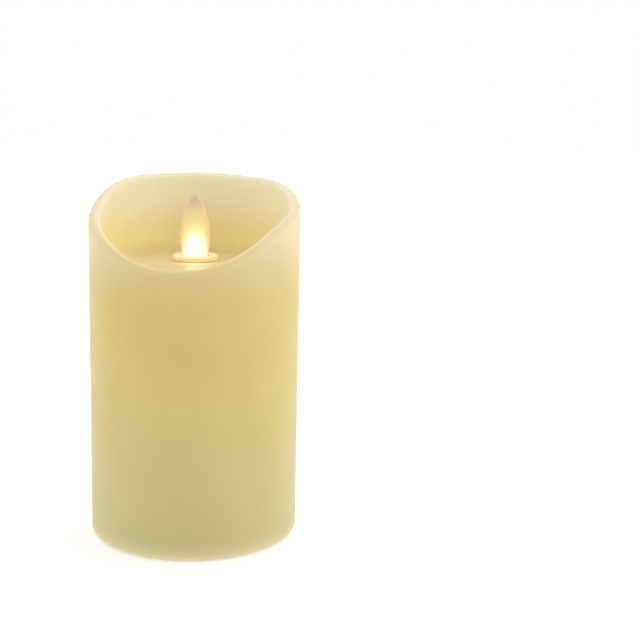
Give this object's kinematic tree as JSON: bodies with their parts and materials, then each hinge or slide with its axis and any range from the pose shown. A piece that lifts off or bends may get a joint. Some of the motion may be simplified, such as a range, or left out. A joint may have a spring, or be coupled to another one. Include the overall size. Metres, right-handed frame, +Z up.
{
  "type": "flameless LED pillar candle",
  "caption": "Flameless LED pillar candle: real-wax shell with a melted, wavy rim, a swaying flame blade lit from below, a slide switch and a battery door in the base.",
  "frame": {"origin": "on the table, at the centre of the base", "axes": "+Z up along the candle's axis; -Y towards the side where the rim is melted lowest, which the flame faces"},
  "size_m": [0.075, 0.075, 0.1288],
  "materials": {
    "wax": "real paraffin wax, smooth with a soft sheen, ivory",
    "core_plastic": "moulded, off-white",
    "bezel_plastic": "moulded, ivory, satin",
    "flame_film": "translucent milky white, lit from below",
    "magnet": "nickel plated",
    "spring_steel": "drawn wire",
    "mech_plastic": "moulded, black",
    "screw_steel": "zinc plated",
    "led_epoxy": "clear epoxy over a warm white phosphor",
    "tinned_steel": "tin plated",
    "circuit_board": "green solder mask",
    "wire_white": "PVC insulation",
    "wire_red": "PVC insulation",
    "wire_black": "PVC insulation",
    "bobbin_plastic": "moulded nylon",
    "copper": "enamelled copper wire",
    "base_plastic": "moulded, fine texture, off-white",
    "battery_can": "printed sleeve over a steel can",
    "switch_plastic": "moulded, black",
    "chip_resin": "moulded resin",
    "capacitor_can": "sleeved can"
  },
  "bodies": {
    "candle": {"wax_shell": "wax", "core_sleeve": "core_plastic", "flame_bezel": "bezel_plastic", "mech_housing_front": "mech_plastic", "mech_housing_back": "mech_plastic", "mech_clamp_screws": "screw_steel", "mech_mount_screws": "screw_steel", "led_lamp": "led_epoxy", "led_leads": "tinned_steel", "led_board": "circuit_board", "led_wires": "wire_white", "coil_bobbin": "bobbin_plastic", "coil_winding": "copper", "coil_leads": "wire_white", "base_housing": "base_plastic", "base_screws": "screw_steel", "battery_1": "battery_can", "battery_2": "battery_can", "contact_bridge": "tinned_steel", "contact_positive": "tinned_steel", "contact_negative": "tinned_steel", "contact_spring_1": "tinned_steel", "contact_spring_2": "tinned_steel", "battery_lead_red": "wire_red", "battery_lead_black": "wire_black", "switch_case": "switch_plastic", "switch_board": "circuit_board", "switch_screws": "screw_steel", "switch_leads": "wire_white", "control_board": "circuit_board", "board_screws": "screw_steel", "control_chip": "chip_resin", "capacitor": "capacitor_can", "resistors": "chip_resin", "timer_crystal": "tinned_steel"},
    "pivot_wire": {"pivot_wire": "spring_steel"},
    "flame": {"flame_paddle": "flame_film", "flame_magnet": "magnet"},
    "battery_door": {"battery_door": "base_plastic"},
    "switch_slider": {"switch_slider": "switch_plastic"}
  },
  "joints": [
    {"name": "flame_nod", "type": "hinge", "parent": "candle", "child": "pivot_wire", "pos_m": [0, 0, 0.092], "axis": [1, 0, 0], "range_deg": [-6, 6]},
    {"name": "flame_sway", "type": "hinge", "parent": "pivot_wire", "child": "flame", "pos_m": [0, 0, 0.092], "axis": [0, 1, 0], "range_deg": [-8, 8]},
    {"name": "door_swing", "type": "hinge", "parent": "candle", "child": "battery_door", "pos_m": [0.0271, 0, 0.001], "axis": [0, -1, 0], "range_deg": [0, 60]},
    {"name": "switch_slide", "type": "slide", "parent": "candle", "child": "switch_slider", "axis": [1, 0, 0], "range_m": [0, 0.004]}
  ]
}
